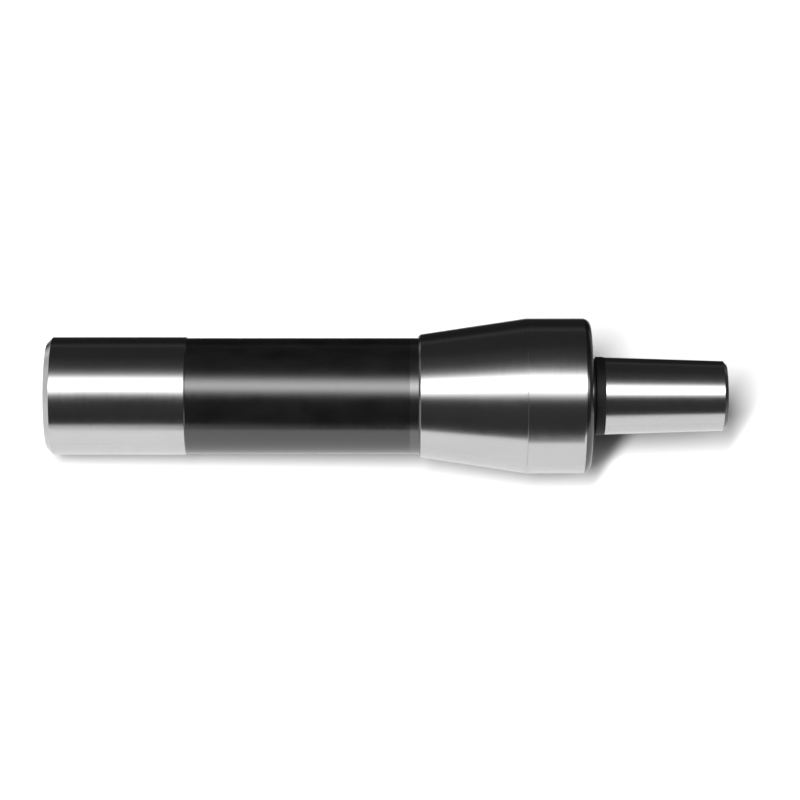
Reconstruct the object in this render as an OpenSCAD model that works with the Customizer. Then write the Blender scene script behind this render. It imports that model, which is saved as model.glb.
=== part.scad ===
// Live center with an R8 spindle-taper shank and a revolving short-taper nose.
// The axis lies along X and the nose points to +X. The origin is on the axis, in the
// gauge plane where the shank's taper seat reaches its full diameter. Millimetres.

/* [Shank] */
// Diameter of the ground pilot at the rear of the shank
pilot_d = 24.1; // [24:0.05:24.3]
// Length of the ground pilot, rear chamfer included
pilot_len = 28.5; // [26:0.5:34]
// Diameter of the blackened relief behind the taper seat
relief_d = 23.7; // [23:0.1:23.8]
// Length of the blackened relief
relief_len = 47.5; // [46:0.5:52]
// Chamfer on the rear edge
rear_chamfer = 1.2; // [0.6:0.1:1.6]

/* [Taper seat] */
// Full diameter of the seat, at the gauge plane
seat_d = 31.75; // [31.5:0.05:32]
// Half of the seat's included angle, in degrees
seat_half_angle = 8.425; // [8.4:0.005:8.45]
// Length of the seat along the axis
seat_len = 22; // [20:0.5:24]

/* [Drawbar thread and keyway] */
// Major diameter of the drawbar thread
drawbar_d = 11.11; // [10:0.01:12]
// Full-diameter depth of the drawbar hole
drawbar_len = 32; // [26:1:33]
// Width of the keyway
key_w = 4; // [3.6:0.1:4.2]
// Depth of the keyway below the pilot
key_depth = 2.4; // [1.6:0.1:2.6]
// Length of the keyway's flat floor, from the rear face
key_len = 60; // [50:1:64]

/* [Bearing cap] */
// Length of the cap that closes the head
cap_len = 13.2; // [13:0.1:14]
// Thickness of the cap's front lip
cap_lip = 2.6; // [2.5:0.1:3]
// Radius on the cap's front edge
cap_edge_r = 1.8; // [1:0.1:2.2]
// Pin-spanner holes in the cap's face
spanner_hole_count = 4; // [2:1:6]
// Pitch circle of the pin-spanner holes
spanner_pcd = 25; // [24:0.5:25.5]
// Diameter of the pin-spanner holes
spanner_hole_d = 2.5; // [2:0.1:2.6]

/* [Nose] */
// Large end of the nose taper
nose_big_d = 15.85; // [15.8:0.01:15.9]
// Small end of the nose taper
nose_small_d = 14.24; // [14:0.01:14.4]
// Length of the nose taper
nose_len = 25.4; // [22:0.2:27]
// Length of the blackened neck between the cap and the nose taper
neck_len = 2.4; // [2:0.1:4]

/* [Bearings] */
// Balls in the front ball bearing
front_ball_count = 15; // [10:1:15]
// Ball diameter of the front ball bearing
front_ball_d = 2.7; // [2.5:0.1:2.7]
// Balls in the thrust bearing
thrust_ball_count = 8; // [5:1:9]
// Ball diameter of the thrust bearing
thrust_ball_d = 4.76; // [4.5:0.01:4.8]
// Rollers in the rear needle bearing
needle_count = 14; // [8:1:15]
// Diameter of the needle rollers
needle_d = 1.48; // [1.4:0.01:1.49]

/* [Hidden] */
$fn = 96;
fine_fn = 48;       // facets of balls, raceways and other small rounds
cut = 1;            // how far a cutter runs past the face it opens
fit = 0.02;         // gap of a seated ring or a threaded screw
run_gap = 0.04;     // radial gap of a rolling contact
edge = 0.3;         // broken corner of a turned part
fine_edge = 0.1;    // broken corner where little room is left
tip_r = 0.01;       // radius that stands for the point of a drilled cone

// Shank stations along X
seat_r = seat_d / 2;
seat_back_x = -seat_len;
seat_back_r = seat_r - seat_len * tan(seat_half_angle);
seat_edge = 0.4;    // broken corner at the seat's small end
relief_back_x = seat_back_x - relief_len;
relief_r = relief_d / 2;
step_len = 0.2;     // chamfered step between the pilot and the relief
pilot_r = pilot_d / 2;
rear_x = relief_back_x - pilot_len;
drawbar_r = drawbar_d / 2;
mouth_len = 1;      // countersink at the drawbar hole's mouth
mouth_flare = 1.2;  // how much wider the mouth is than the hole, in radius
drill_point = 0.6;  // height of a drill point, per unit of its radius
key_cutter_r = 18;  // slotting cutter that leaves the keyway's run-out

// Front ball bearing, 17 x 26 x 5
front_bore_r = 8.5;
front_od_r = 13;
front_w = 5;
front_pitch_r = (front_bore_r + front_od_r) / 2;
front_land = 0.9;   // half of the gap between the two rings' shoulders
shield_t = 0.3;
shield_inset = 0.2;
shield_step = 0.3;  // depth of the outer ring's step that takes a shield
shield_gap = 0.15;  // running gap between a shield and the inner ring
shim_t = 0.2;
shim_w = 1.4;       // radial width of the shim
cap_inner_x = cap_len - cap_lip;
front_end_x = cap_inner_x - shim_t;
front_back_x = front_end_x - front_w;
front_mid_x = front_end_x - front_w / 2;
cage_sheet_t = 0.3;
cage_half_w = 0.5;  // half of the ribbon's radial width
cage_gap = 0.1;     // play of a ball in its pocket
cage_split = 0.01;  // half of the gap between the two halves
rivet_r = 0.18;
rivet_head_r = 0.34;
rivet_head_h = 0.14;

// Thrust ball bearing, 10 x 24 x 9, and the disc spring behind it
flange_t = 2.6;
flange_r = 9.9;
thrust_bore_r = 5;
thrust_od_r = 12;
thrust_h = 9;
thrust_pitch_r = 8.5;
thrust_end_x = front_back_x - flange_t;
thrust_mid_x = thrust_end_x - thrust_h / 2;
thrust_back_x = thrust_end_x - thrust_h;
thrust_washer_t = 2.8;
thrust_cage_t = 1.6;
thrust_cage_inset = 0.6;
thrust_housing_play = 0.5; // the housing washer's bore clears the journal by this
spring_h = 1;
spring_t = 0.6;
spring_in_r = 6.2;
spring_out_r = 11.6;
cavity_back_x = thrust_back_x - spring_h;

// Rear needle bearing, 10 x 14 x 12
needle_od_r = 7;
needle_len = 12;
needle_wall = 0.46;
needle_lip_t = 0.8;
needle_lip_gap = 0.5; // the cup's lips clear the journal by this
needle_lip_r = thrust_bore_r + needle_lip_gap;
needle_pitch_r = thrust_bore_r + run_gap / 2 + needle_d / 2;
roller_len = 8.2;
needle_cage_half_t = 0.4;
needle_cage_rim = 0.9;
needle_slot_gap = 0.06;
bore_back_x = -44;
needle_back_gap = 0.5; // room behind the cup in its bore
needle_back_x = bore_back_x + needle_back_gap;
needle_mid_x = needle_back_x + needle_len / 2;

// Knock-out hole and its plug, between the drawbar hole and the bearing bore
drill_end_x = rear_x + drawbar_len + drawbar_r * drill_point;
plug_r = 3;
plug_len = 6;
plug_hex = 3;       // across the flats of its socket, which is as deep
plug_recess = 1;    // how far the plug lies below the drill point
plug_seat_x = drill_end_x + plug_len + plug_recess;
vent_r = 1.8;

// Cap, seal and lock screw
spigot_r = 13.55;
cap_thread_gap = 0.05;
cap_thread_r = spigot_r + cap_thread_gap;
cap_back_x = fit;
lip_gap = 0.25;     // running gap between the cap's lip and the spindle
lip_bore_r = front_bore_r + lip_gap;
lip_flare = 0.4;
seal_mid_x = cap_inner_x + cap_lip / 2;
seal_groove_w = 1.6;
seal_groove_r = 10;
seal_r = 0.7;
seal_gap = 0.05;
seal_pitch_r = front_bore_r + seal_r + seal_gap;
spanner_depth = 1.6;
lock_screw_x = 2.7;
lock_screw_r = 1.25;
lock_screw_len = 2.1;
lock_hex = 1.3;
lock_hex_depth = 1;

// Spindle and nose
tail_gap = 0.8;     // room behind the spindle's tail in the bore
tail_x = bore_back_x + tail_gap;
tail_edge = 0.5;
undercut_len = 1.2; // grinding undercut between the journal and the flange
undercut = 0.2;
neck_groove_r = 7.6;
neck_groove_w = 0.8;
neck_step = 0.2;    // chamfered step from the groove up to the neck
neck_r = 8;
nose_x = cap_len + neck_len;
nose_end_x = nose_x + nose_len;
nose_chamfer = 0.7;
nose_r = nose_big_d / 2;
nose_end_r = nose_small_d / 2;
center_mouth_r = 3.2;
center_pilot_r = 1;
center_len = (center_mouth_r - center_pilot_r) / tan(30);
center_pilot_len = 2.7;
tail_center_r = 1.8;

// ---- Shapes that repeat ----

// Lays what is drawn along Z along X instead.
module along_x() rotate([0, 90, 0]) children();

// A solid turned about the X axis, from [radius, x] points.
module turned(points) along_x() rotate_extrude() polygon(points);

// A plain rod on the axis, from x0 to x1.
module rod(x0, x1, r) translate([x0, 0, 0]) along_x() cylinder(r = r, h = x1 - x0);

// A cone on the axis, from radius r0 at x0 to r1 at x1.
module cone(x0, x1, r0, r1) translate([x0, 0, 0]) along_x() cylinder(r1 = r0, r2 = r1, h = x1 - x0);

// A plain ring on the axis.
module ring(x0, x1, r_in, r_out) difference() {
    rod(x0, x1, r_out);
    rod(x0 - cut, x1 + cut, r_in);
}

// A bearing ring whose corners are broken on the outside, on the bore, or on both.
module race(x0, x1, r_in, r_out, out_edge, in_edge) turned([
    [r_in, x0 + in_edge], [r_in + in_edge, x0], [r_out - out_edge, x0], [r_out, x0 + out_edge],
    [r_out, x1 - out_edge], [r_out - out_edge, x1], [r_in + in_edge, x1], [r_in, x1 - in_edge]]);

// A ring with a round section, used for raceways and seals.
module torus(x, r_pitch, r_section) translate([x, 0, 0]) along_x()
    rotate_extrude() translate([r_pitch, 0]) circle(r = r_section, $fn = fine_fn);

// Copies children count times around the X axis.
module around(count) for (i = [0 : count - 1]) rotate([i * 360 / count, 0, 0]) children();

// Places children on a pitch circle, count times around the X axis.
module on_pitch(count, x, r_pitch) around(count) translate([x, 0, r_pitch]) children();

module balls(count, x, r_pitch, d) on_pitch(count, x, r_pitch) sphere(d = d, $fn = fine_fn);

module hexagon(across_flats, depth) cylinder(d = across_flats / cos(30), h = depth, $fn = 6);

// ---- Housing: what stays still in the machine's spindle ----

module keyway() {
    floor_y = pilot_r - key_depth;
    translate([rear_x - cut, floor_y, -key_w / 2]) cube([key_len + cut, key_depth + cut, key_w]);
    translate([rear_x + key_len, floor_y + key_cutter_r, -key_w / 2]) cylinder(r = key_cutter_r, h = key_w);
}

module shank_body() color("dimgray") difference() {
    turned([[0, rear_x], [pilot_r - rear_chamfer, rear_x], [pilot_r, rear_x + rear_chamfer],
            [pilot_r, relief_back_x], [relief_r, relief_back_x + step_len], [relief_r, seat_back_x],
            [seat_back_r - seat_edge, seat_back_x], [seat_back_r, seat_back_x + seat_edge],
            [seat_r, 0], [spigot_r, 0], [spigot_r, front_back_x - edge],
            [spigot_r - edge, front_back_x], [0, front_back_x]]);
    keyway();
    // drawbar hole with its countersunk mouth and drill point
    cone(rear_x - cut, rear_x + mouth_len, drawbar_r + mouth_flare * (1 + cut / mouth_len), drawbar_r);
    rod(rear_x, rear_x + drawbar_len, drawbar_r);
    cone(rear_x + drawbar_len, drill_end_x, drawbar_r, tip_r);
    // knock-out hole
    rod(drill_end_x - plug_r * drill_point - cut, plug_seat_x, plug_r);
    rod(plug_seat_x - cut, bore_back_x + cut, vent_r);
    // bearing bore and head cavity
    rod(bore_back_x, cavity_back_x + cut, needle_od_r);
    rod(cavity_back_x, front_back_x + cut, thrust_od_r);
}

// Screws on the shank's spigot and clamps the front bearing's outer race.
module bearing_cap() color("silver") difference() {
    along_x() rotate_extrude() {
        translate([0, cap_back_x]) square([seat_r, cap_len - cap_edge_r - cap_back_x]);
        translate([0, cap_back_x]) square([seat_r - cap_edge_r, cap_len - cap_back_x]);
        translate([seat_r - cap_edge_r, cap_len - cap_edge_r]) circle(r = cap_edge_r, $fn = fine_fn);
    }
    rod(cap_back_x - cut, front_back_x, cap_thread_r);
    rod(front_back_x - cut, cap_inner_x, front_od_r + fit);
    rod(cap_inner_x - cut, cap_len + cut, lip_bore_r);
    ring(seal_mid_x - seal_groove_w / 2, seal_mid_x + seal_groove_w / 2, lip_bore_r - cut, seal_groove_r);
    cone(cap_len - edge, cap_len + tip_r, lip_bore_r, lip_bore_r + lip_flare);
    on_pitch(spanner_hole_count, cap_len - spanner_depth, spanner_pcd / 2)
        rod(0, spanner_depth + cut, spanner_hole_d / 2);
    translate([lock_screw_x, 0, 0]) rotate([-90, 0, 0]) cylinder(r = lock_screw_r, h = seat_r + cut);
}

// Grub screw through the cap's skirt that locks its thread.
module cap_lock_screw() color("dimgray") translate([lock_screw_x, spigot_r + fit, 0]) rotate([-90, 0, 0])
    difference() {
        cylinder(r = lock_screw_r - fit, h = lock_screw_len);
        translate([0, 0, lock_screw_len - lock_hex_depth]) hexagon(lock_hex, lock_hex_depth + cut);
    }

// Grub screw that closes the knock-out hole and holds the grease in.
module knockout_plug() color("dimgray") difference() {
    rod(plug_seat_x - plug_len, plug_seat_x - fit, plug_r - fit);
    translate([plug_seat_x - plug_len - cut, 0, 0]) along_x() hexagon(plug_hex, plug_hex + cut);
}

module nose_seal() color("#222222") torus(seal_mid_x, seal_pitch_r, seal_r);

module bearing_shim() color("goldenrod")
    ring(front_end_x + fit, cap_inner_x - fit, front_od_r - shim_w, front_od_r - fit);

module front_outer_race() color("lightgray") difference() {
    race(front_back_x + fit, front_end_x, front_pitch_r + front_land, front_od_r, edge, fine_edge);
    torus(front_mid_x, front_pitch_r, front_ball_d / 2 + run_gap);
    for (x = [front_back_x + shield_inset, front_end_x - shield_inset - shield_t])
        rod(x, x + shield_t, front_pitch_r + front_land + shield_step);
}

// Thin disc that closes one side of the front bearing; x is where it starts.
module shield(x) ring(x, x + shield_t, front_pitch_r - front_land + shield_gap,
                      front_pitch_r + front_land + shield_step - fit);

module front_shield_outer() color("gainsboro") shield(front_end_x - shield_inset - shield_t);

module front_shield_inner() color("gainsboro") shield(front_back_x + shield_inset);

// A thrust washer with its ball groove.
module thrust_washer(x0, x1, r_in, r_out) difference() {
    race(x0, x1, r_in, r_out, edge, edge);
    torus(thrust_mid_x, thrust_pitch_r, thrust_ball_d / 2 + run_gap);
}

module thrust_housing_washer() color("lightgray")
    thrust_washer(thrust_back_x, thrust_back_x + thrust_washer_t,
                  thrust_bore_r + thrust_housing_play, thrust_od_r - fit);

// Disc spring that keeps the thrust balls loaded.
module preload_spring() color("slategray") turned([
    [spring_in_r, thrust_back_x - fit - spring_t], [spring_in_r, thrust_back_x - fit],
    [spring_out_r, cavity_back_x + fit + spring_t], [spring_out_r, cavity_back_x + fit]]);

// Drawn cup of the needle bearing, with a lip turned in at each end.
module needle_cup() color("lightgray") difference() {
    rod(needle_back_x, needle_back_x + needle_len, needle_od_r - fit);
    rod(needle_back_x + needle_lip_t, needle_back_x + needle_len - needle_lip_t, needle_od_r - needle_wall);
    rod(needle_back_x - cut, needle_back_x + needle_len + cut, needle_lip_r);
}

// ---- Spindle: what turns with the nose ----

module spindle() color("silver") difference() {
    turned([[0, tail_x], [thrust_bore_r - tail_edge, tail_x], [thrust_bore_r, tail_x + tail_edge],
            [thrust_bore_r, thrust_end_x - undercut_len],
            [thrust_bore_r - undercut, thrust_end_x - undercut_len + undercut],
            [thrust_bore_r - undercut, thrust_end_x], [flange_r - edge, thrust_end_x],
            [flange_r, thrust_end_x + edge], [flange_r, front_back_x - edge],
            [flange_r - edge, front_back_x], [front_bore_r, front_back_x],
            [front_bore_r, cap_len - edge], [neck_groove_r, cap_len],
            [neck_groove_r, cap_len + neck_groove_w], [neck_r, cap_len + neck_groove_w + neck_step],
            [neck_r, nose_x], [nose_r, nose_x],
            [nose_r + (nose_end_r - nose_r) * (1 - nose_chamfer / nose_len), nose_end_x - nose_chamfer],
            [nose_end_r - nose_chamfer, nose_end_x], [0, nose_end_x]]);
    // 60 degree centre hole in the nose, with its pilot drilling and drill point
    cone(nose_end_x - center_len, nose_end_x, center_pilot_r, center_mouth_r);
    rod(nose_end_x - center_len - center_pilot_len, nose_end_x - center_len + tip_r, center_pilot_r);
    cone(nose_end_x - center_len - center_pilot_len - center_pilot_r * drill_point,
         nose_end_x - center_len - center_pilot_len, tip_r, center_pilot_r);
    // centre hole in the tail
    cone(tail_x, tail_x + tail_center_r / tan(30), tail_center_r, tip_r);
}

module front_inner_race() color("lightgray") difference() {
    race(front_back_x + fit, front_end_x, front_bore_r + fit, front_pitch_r - front_land, fine_edge, edge);
    torus(front_mid_x, front_pitch_r, front_ball_d / 2 + run_gap);
}

module thrust_shaft_washer() color("lightgray")
    thrust_washer(thrust_end_x - thrust_washer_t, thrust_end_x - fit,
                  thrust_bore_r + fit, thrust_od_r - edge);

// ---- Rolling sets: each orbits with its cage ----

module front_balls() color("white") balls(front_ball_count, front_mid_x, front_pitch_r, front_ball_d);

// Places children between the balls, where the two cage halves are riveted.
module between_balls() rotate([180 / front_ball_count, 0, 0])
    on_pitch(front_ball_count, front_mid_x, front_pitch_r) children();

// One stamped half of the front bearing's ribbon cage: flat webs and spherical pockets.
// side is 1 for the half in front of the ball centres and -1 for the half behind them.
module ribbon_cage_half(side) {
    pocket_r = front_ball_d / 2 + cage_gap;
    reach = pocket_r + cage_sheet_t + cut;
    inner_r = front_pitch_r - cage_half_w;
    outer_r = front_pitch_r + cage_half_w;
    difference() {
        union() {
            ring(front_mid_x + (side > 0 ? cage_split : -cage_sheet_t),
                 front_mid_x + (side > 0 ? cage_sheet_t : -cage_split), inner_r, outer_r);
            intersection() {
                balls(front_ball_count, front_mid_x, front_pitch_r, 2 * (pocket_r + cage_sheet_t));
                ring(front_mid_x + (side > 0 ? cage_split : -reach),
                     front_mid_x + (side > 0 ? reach : -cage_split), inner_r, outer_r);
            }
        }
        balls(front_ball_count, front_mid_x, front_pitch_r, 2 * pocket_r);
        between_balls() rod(-cut, cut, rivet_r + cage_split);
    }
}

module front_cage_outer_half() color("darkkhaki") ribbon_cage_half(1);

module front_cage_inner_half() color("darkkhaki") ribbon_cage_half(-1);

module front_cage_rivets() color("darkkhaki") between_balls() {
    rod(-cage_sheet_t, cage_sheet_t, rivet_r);
    rod(cage_sheet_t, cage_sheet_t + rivet_head_h, rivet_head_r);
    rod(-cage_sheet_t - rivet_head_h, -cage_sheet_t, rivet_head_r);
}

module thrust_balls() color("white") balls(thrust_ball_count, thrust_mid_x, thrust_pitch_r, thrust_ball_d);

module thrust_cage() color("darkkhaki") difference() {
    ring(thrust_mid_x - thrust_cage_t / 2, thrust_mid_x + thrust_cage_t / 2,
         thrust_bore_r + thrust_cage_inset, thrust_od_r - thrust_cage_inset);
    balls(thrust_ball_count, thrust_mid_x, thrust_pitch_r, thrust_ball_d + 2 * run_gap);
}

module needle_rollers() color("white") on_pitch(needle_count, needle_mid_x, needle_pitch_r)
    rod(-roller_len / 2, roller_len / 2, needle_d / 2);

module needle_cage() color("darkkhaki") {
    slot_len = roller_len + 2 * cage_gap;
    slot_w = needle_d + 2 * needle_slot_gap;
    difference() {
        ring(needle_mid_x - roller_len / 2 - needle_cage_rim, needle_mid_x + roller_len / 2 + needle_cage_rim,
             needle_pitch_r - needle_cage_half_t, needle_pitch_r + needle_cage_half_t);
        around(needle_count) translate([needle_mid_x - slot_len / 2, -slot_w / 2, 0])
            cube([slot_len, slot_w, needle_od_r]);
    }
}

shank_body();
bearing_cap();
cap_lock_screw();
knockout_plug();
nose_seal();
bearing_shim();
front_outer_race();
front_shield_outer();
front_shield_inner();
thrust_housing_washer();
preload_spring();
needle_cup();
spindle();
front_inner_race();
thrust_shaft_washer();
front_balls();
front_cage_outer_half();
front_cage_inner_half();
front_cage_rivets();
thrust_balls();
thrust_cage();
needle_rollers();
needle_cage();
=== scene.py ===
# Live center with an R8 shank and a revolving short-taper nose: the looks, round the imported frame.
# Lengths in the dictionaries are millimetres, and the meshes are metres. The axis lies along X.

import math

import bmesh
import bpy
import numpy as np
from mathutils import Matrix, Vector


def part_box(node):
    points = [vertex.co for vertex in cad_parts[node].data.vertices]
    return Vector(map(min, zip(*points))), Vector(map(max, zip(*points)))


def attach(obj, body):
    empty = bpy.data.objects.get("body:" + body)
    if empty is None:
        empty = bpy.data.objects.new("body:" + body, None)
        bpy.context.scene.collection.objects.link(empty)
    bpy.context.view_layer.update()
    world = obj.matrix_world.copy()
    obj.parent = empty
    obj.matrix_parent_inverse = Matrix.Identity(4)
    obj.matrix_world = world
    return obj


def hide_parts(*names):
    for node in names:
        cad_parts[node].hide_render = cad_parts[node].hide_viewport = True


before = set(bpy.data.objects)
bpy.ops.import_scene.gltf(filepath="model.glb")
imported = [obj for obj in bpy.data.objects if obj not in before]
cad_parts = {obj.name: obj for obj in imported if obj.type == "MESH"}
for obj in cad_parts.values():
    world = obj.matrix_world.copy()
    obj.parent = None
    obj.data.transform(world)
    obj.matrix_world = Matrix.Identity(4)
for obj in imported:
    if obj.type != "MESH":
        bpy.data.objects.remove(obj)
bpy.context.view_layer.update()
print("frame loaded:", len(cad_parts), "nodes")

mm = 0.001
columns = 192         # columns round a turned piece, a multiple of 24
supportGap = 0.05     # rows this close to a corner keep long faces flat
weldGap = 1.5e-6      # metres, below every real gap between two points


def roundedProfile(corners, closed=False, steps=5):
    # A corner is (x, radius from the axis, rounding, finish of the stretch after it). A corner with a
    # rounding becomes an arc that touches both sides: its centre lies on the bisector, rounding divided
    # by the sine of the half angle away. Returns the points and the finish of the stretch after each.
    place = np.array([c[:2] for c in corners], float)
    points, finishes = [], []
    last = len(corners) - 1
    for k, (x, r, rounding, finish) in enumerate(corners):
        here = place[k]
        if rounding == 0 or (not closed and k in (0, last)):
            points.append(here[None])
            finishes.append([finish])
            continue
        before = place[k - 1] - here
        after = place[(k + 1) % len(corners)] - here
        before /= np.linalg.norm(before)
        after /= np.linalg.norm(after)
        half = math.acos(float(before @ after)) / 2
        reach = rounding / math.tan(half)
        centre = here + (before + after) / np.linalg.norm(before + after) * rounding / math.sin(half)
        first = here + before * reach - centre
        end = here + after * reach - centre
        start = math.atan2(first[1], first[0])
        turn = (math.atan2(end[1], end[0]) - start + math.pi) % (2 * math.pi) - math.pi
        angle = start + turn * np.linspace(0, 1, steps + 1)
        points.append(centre + rounding * np.stack([np.cos(angle), np.sin(angle)], 1))
        finishes.append([finish] * (steps + 1))
    points = np.concatenate(points)
    finishes = sum(finishes, [])
    if closed:
        points = np.concatenate([points, points[:1]])
        finishes.append(finishes[0])
    return supportRows(points, finishes)


def supportRows(points, finishes):
    # Every stretch longer than six gaps gets a point one gap from each of its ends.
    length = np.linalg.norm(np.diff(points, axis=0), axis=1)
    newPoints, newFinishes = [points[:1]], [finishes[0]]
    for k, stretch in enumerate(length):
        if stretch > 6 * supportGap:
            step = (points[k + 1] - points[k]) / stretch * supportGap
            newPoints.append(np.array([points[k] + step, points[k + 1] - step]))
            newFinishes += [finishes[k], finishes[k]]
        newPoints.append(points[k + 1:k + 2])
        newFinishes.append(finishes[k + 1])
    return np.concatenate(newPoints), newFinishes


def turned(profile, angles=None):
    # x stays, y = r cos(angle), z = r sin(angle): the profile turned once round the X axis.
    if angles is None:
        angles = np.linspace(0, 2 * math.pi, columns + 1)
    x, r = profile[:, :1], profile[:, 1:2]
    return np.stack([x + 0 * angles, r * np.cos(angles), r * np.sin(angles)], -1)


class Shell:
    # Gathers grid patches and welds them into one closed mesh.
    def __init__(self):
        self.points, self.faces, self.finish = [], [], []
        self.count = 0

    def add(self, grid, finish, skip=None, flip=False):
        # grid is rows x columns x 3; each cell becomes one face, outward where the rows run along +X
        # on the outside. finish names one finish, one for each row, or one for each cell. skip leaves
        # cells out.
        rows, cols = grid.shape[:2]
        index = self.count + np.arange(rows * cols).reshape(rows, cols)
        quads = np.stack([index[:-1, :-1], index[:-1, 1:], index[1:, 1:], index[1:, :-1]], -1)
        keep = np.ones(quads.shape[:2], bool) if skip is None else ~skip
        if flip:
            quads = quads[..., ::-1]
        names = np.array([finish] * (rows - 1) if isinstance(finish, str) else finish[:rows - 1])
        if names.ndim == 1:
            names = np.repeat(names[:, None], cols - 1, axis=1)
        self.finish.append(names[keep])
        self.faces.append(quads[keep])
        self.points.append(grid.reshape(-1, 3))
        self.count += rows * cols

    def build(self, name, body, node, slot, finishes, sharpAngle=28):
        # Welds, shades smooth below the sharp angle, and hands the piece to the frame.
        mesh = bpy.data.meshes.new(name)
        points = np.concatenate(self.points) * mm
        mesh.from_pydata(points.tolist(), [], np.concatenate(self.faces).tolist())
        order = list(finishes)
        number = {finish: k for k, finish in enumerate(order)}
        used = np.concatenate(self.finish)
        mesh.polygons.foreach_set("material_index", np.array([number[f] for f in used], np.int32))
        for finish in order:
            mesh.materials.append(finishes[finish])
        work = bmesh.new()
        work.from_mesh(mesh)
        bmesh.ops.remove_doubles(work, verts=work.verts, dist=weldGap)
        bmesh.ops.dissolve_degenerate(work, edges=work.edges, dist=weldGap / 10)
        openEdges = sum(1 for edge in work.edges if not edge.is_manifold)
        work.to_mesh(mesh)
        work.free()
        mesh.polygons.foreach_set("use_smooth", np.ones(len(mesh.polygons), bool))
        mesh.set_sharp_from_angle(angle=math.radians(sharpAngle))
        piece = bpy.data.objects.new(name, mesh)
        bpy.context.scene.collection.objects.link(piece)
        handOver(piece, body, node)
        if openEdges:
            print("open edges in", name, openEdges)
        return piece


def handOver(piece, body, node):
    # The piece rides on its body and stands for its node, and both boxes have to agree.
    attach(piece, body)
    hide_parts(node)
    low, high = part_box(node)
    own = np.array([v.co for v in piece.data.vertices])
    off = max(np.abs(own.min(0) - np.array(low)).max(), np.abs(own.max(0) - np.array(high)).max())
    print(f"{piece.name}: {len(piece.data.polygons)} faces, box off by {off / mm:.3f} mm")


def newMaterial(name):
    material = bpy.data.materials.new(name)
    material.use_nodes = True
    tree = material.node_tree
    return material, tree, tree.nodes["Principled BSDF"]


def link(tree, source, output, target, entry):
    tree.links.new(source.outputs[output], target.inputs[entry])


def objectNoise(tree, stretch, detail=4.0, roughness=0.55, shift=(0, 0, 0), source=None):
    # Noise on Object coordinates, stretched along the axes. Coordinates are metres.
    if source is None:
        source = (tree.nodes.new("ShaderNodeTexCoord"), "Object")
    mapping = tree.nodes.new("ShaderNodeMapping")
    mapping.inputs["Scale"].default_value = stretch
    mapping.inputs["Location"].default_value = shift
    noise = tree.nodes.new("ShaderNodeTexNoise")
    noise.inputs["Scale"].default_value = 1.0
    noise.inputs["Detail"].default_value = detail
    noise.inputs["Roughness"].default_value = roughness
    link(tree, *source, mapping, "Vector")
    link(tree, mapping, "Vector", noise, "Vector")
    return noise


def ringNoise(tree, ringScale, around, shift=(0, 0, 0)):
    # Turning rings. The first coordinate is x + 1.37 times the distance from the axis, so that rings
    # run round cylinders, cones and end faces alike; the other two stay y and z.
    coordinates = tree.nodes.new("ShaderNodeTexCoord")
    across = vectorStep(tree, "MULTIPLY", coordinates, "Object", (0.0, 1.0, 1.0))
    distance = vectorStep(tree, "LENGTH", across, "Vector")
    outward = tree.nodes.new("ShaderNodeVectorMath")
    outward.operation = "SCALE"
    outward.inputs[0].default_value = (1.37, 0.0, 0.0)
    link(tree, distance, "Value", outward, "Scale")
    place = vectorStep(tree, "ADD", coordinates, "Object")
    link(tree, outward, "Vector", place, 1)
    stretch = (ringScale, around, around)
    return objectNoise(tree, stretch, detail=3.0, shift=shift, source=(place, "Vector"))


def vectorStep(tree, operation, source, output, second=None):
    node = tree.nodes.new("ShaderNodeVectorMath")
    node.operation = operation
    link(tree, source, output, node, 0)
    if second is not None:
        node.inputs[1].default_value = second
    return node


def remap(tree, source, output, low, high, newLow, newHigh):
    node = tree.nodes.new("ShaderNodeMapRange")
    node.inputs["From Min"].default_value = low
    node.inputs["From Max"].default_value = high
    node.inputs["To Min"].default_value = newLow
    node.inputs["To Max"].default_value = newHigh
    link(tree, source, output, node, "Value")
    return node


def combine(tree, operation, first, firstOutput, second, secondOutput=None):
    node = tree.nodes.new("ShaderNodeMath")
    node.operation = operation
    link(tree, first, firstOutput, node, 0)
    if secondOutput is None:
        node.inputs[1].default_value = second
    else:
        link(tree, second, secondOutput, node, 1)
    return node


def turnedSteel(name, look):
    # Ground or turned steel: fine rings round the axis, which show as changes of roughness and as a
    # shallow bump, with slow changes of tone, and a few longer handling marks.
    material, tree, shader = newMaterial(name)
    rings = ringNoise(tree, look["ringScale"], 90)
    tone = objectNoise(tree, (55, 120, 120), detail=3.0, shift=(0.3, 0.1, 0.2))
    marks = objectNoise(tree, (70, 900, 900), detail=5.0, roughness=0.7, shift=(1, 2, 3))
    toneRange = remap(tree, tone, "Fac", 0.3, 0.7, 1 - look["toneSpread"], 1 + look["toneSpread"])
    ringTone = remap(tree, rings, "Fac", 0.3, 0.7, 1 - look["ringTone"], 1 + look["ringTone"])
    both = combine(tree, "MULTIPLY", toneRange, "Result", ringTone, "Result")
    colour = tree.nodes.new("ShaderNodeVectorMath")
    colour.operation = "SCALE"
    colour.inputs[0].default_value = look["colour"]
    link(tree, both, "Value", colour, "Scale")
    link(tree, colour, "Vector", shader, "Base Color")
    ringRough = remap(tree, rings, "Fac", 0.25, 0.75, -look["ringRough"], look["ringRough"])
    markRough = remap(tree, marks, "Fac", 0.62, 0.8, 0.0, look["markRough"])
    toneRough = remap(tree, tone, "Fac", 0.3, 0.7, look["roughness"] - 0.015, look["roughness"] + 0.015)
    summed = combine(tree, "ADD", ringRough, "Result", markRough, "Result")
    rough = combine(tree, "ADD", summed, "Value", toneRough, "Result")
    link(tree, rough, "Value", shader, "Roughness")
    bump = tree.nodes.new("ShaderNodeBump")
    bump.inputs["Strength"].default_value = look["bump"]
    bump.inputs["Distance"].default_value = 0.00001
    link(tree, rings, "Fac", bump, "Height")
    link(tree, bump, "Normal", shader, "Normal")
    shader.inputs["Metallic"].default_value = 1.0
    return material


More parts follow.
